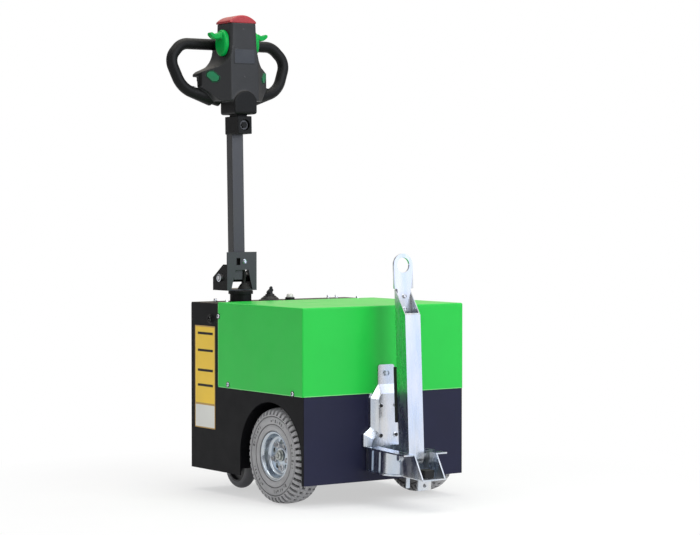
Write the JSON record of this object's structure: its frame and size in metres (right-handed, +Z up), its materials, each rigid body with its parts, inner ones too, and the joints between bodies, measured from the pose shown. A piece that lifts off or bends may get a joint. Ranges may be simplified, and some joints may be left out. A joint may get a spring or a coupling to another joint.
{
  "type": "electric tow tractor",
  "caption": "Compact battery tow tractor steered on foot with a hand tiller, a green cover over a black sheet body, pneumatic drive wheels and a fold-up drawbar on its hitch.",
  "frame": {"origin": "on the ground under the centre of the machine's box", "axes": "+X to the hitch end, -X to the tiller end, +Z up, +Y to the left of someone who looks from the tiller to the hitch"},
  "size_m": [0.8018, 0.618, 1.3401],
  "materials": {
    "green_paint": "glossy powder coat",
    "black_paint": "satin powder coat",
    "zinc_plate": "bright zinc",
    "bright_steel": "machined",
    "axle_casting": "painted casting",
    "motor_paint": "satin",
    "battery_case": "moulded",
    "grey_tyre": "non-marking rubber",
    "grey_tread": "polyurethane",
    "core_plastic": "moulded",
    "head_plastic": "fine grain",
    "grip_plastic": "fine grain",
    "red_plastic": "moulded",
    "green_plastic": "moulded",
    "window_plastic": "smooth",
    "black_rubber": "matt",
    "black_plastic": "moulded",
    "lamp_clear": "clear lens",
    "plate_print": "printed foil"
  },
  "bodies": {
    "chassis": {"hood": "green_paint", "side_panel_left": "black_paint", "side_panel_right": "black_paint", "hitch_end_panel": "black_paint", "rear_panel": "black_paint", "rear_deck": "black_paint", "tray": "black_paint", "wheel_tub_left": "black_paint", "wheel_tub_right": "black_paint", "crossmember": "black_paint", "batteries": "battery_case", "drive_axle": "axle_casting", "drive_motor": "motor_paint", "axle_saddles": "black_paint", "column_bearings": "bright_steel", "castor_head": "zinc_plate", "main_switch": "black_plastic", "deck_lamp": "black_plastic", "side_socket": "black_plastic", "side_plate": "plate_print", "hitch_plate": "zinc_plate", "tow_jaw": "zinc_plate", "hitch_gussets": "zinc_plate", "jaw_block": "black_rubber", "drawbar_pins": "bright_steel"},
    "drive_wheel_left": {"tyre_left": "grey_tyre", "rim_left": "zinc_plate", "hub_left": "bright_steel"},
    "drive_wheel_right": {"tyre_right": "grey_tyre", "rim_right": "zinc_plate", "hub_right": "bright_steel"},
    "steering": {"steering_column": "black_paint", "steer_fork": "zinc_plate", "tilt_bracket": "black_paint", "tilt_pin": "bright_steel", "cable_boot": "black_rubber"},
    "steer_wheel": {"steer_tyre": "grey_tread", "steer_core": "core_plastic"},
    "castor_swivel": {"castor_fork": "zinc_plate"},
    "castor_wheel": {"castor_tyre": "grey_tread", "castor_core": "core_plastic"},
    "tiller": {"tiller_tube": "black_paint", "knuckle": "black_paint", "head_boss": "head_plastic", "head_housing": "head_plastic", "handle_loop_left": "grip_plastic", "handle_loop_right": "grip_plastic", "stop_cap": "red_plastic", "head_window": "window_plastic", "speed_paddle_left": "green_plastic", "speed_paddle_right": "green_plastic"},
    "drawbar": {"drawbar": "zinc_plate", "tow_eye": "zinc_plate"}
  },
  "joints": [
    {"name": "left_wheel_spin", "type": "hinge", "parent": "chassis", "child": "drive_wheel_left", "pos_m": [0.03439, 0.2665, 0.13], "axis": [0, 1, 0], "continuous": true},
    {"name": "right_wheel_spin", "type": "hinge", "parent": "chassis", "child": "drive_wheel_right", "pos_m": [0.03439, -0.1845, 0.13], "axis": [0, 1, 0], "continuous": true},
    {"name": "steering_turn", "type": "hinge", "parent": "chassis", "child": "steering", "pos_m": [-0.31161, -0.106, 0.562], "axis": [0, 0, 1], "range_deg": [-90, 90]},
    {"name": "steer_wheel_spin", "type": "hinge", "parent": "steering", "child": "steer_wheel", "pos_m": [-0.31161, -0.106, 0.0625], "axis": [0, 1, 0], "continuous": true},
    {"name": "tiller_tilt", "type": "hinge", "parent": "steering", "child": "tiller", "pos_m": [-0.33861, -0.106, 0.598], "axis": [0, -1, 0], "range_deg": [0, 80], "stiffness_Nm_per_rad": 16, "springref_deg": -28.65},
    {"name": "castor_turn", "type": "hinge", "parent": "chassis", "child": "castor_swivel", "pos_m": [-0.28261, 0.188, 0.134], "axis": [0, 0, 1], "continuous": true},
    {"name": "castor_wheel_spin", "type": "hinge", "parent": "castor_swivel", "child": "castor_wheel", "pos_m": [-0.31261, 0.188, 0.0625], "axis": [0, 1, 0], "continuous": true},
    {"name": "drawbar_fold", "type": "hinge", "parent": "chassis", "child": "drawbar", "pos_m": [0.30039, 0.041, 0.135], "axis": [0, 1, 0], "range_deg": [0, 92.7]}
  ]
}
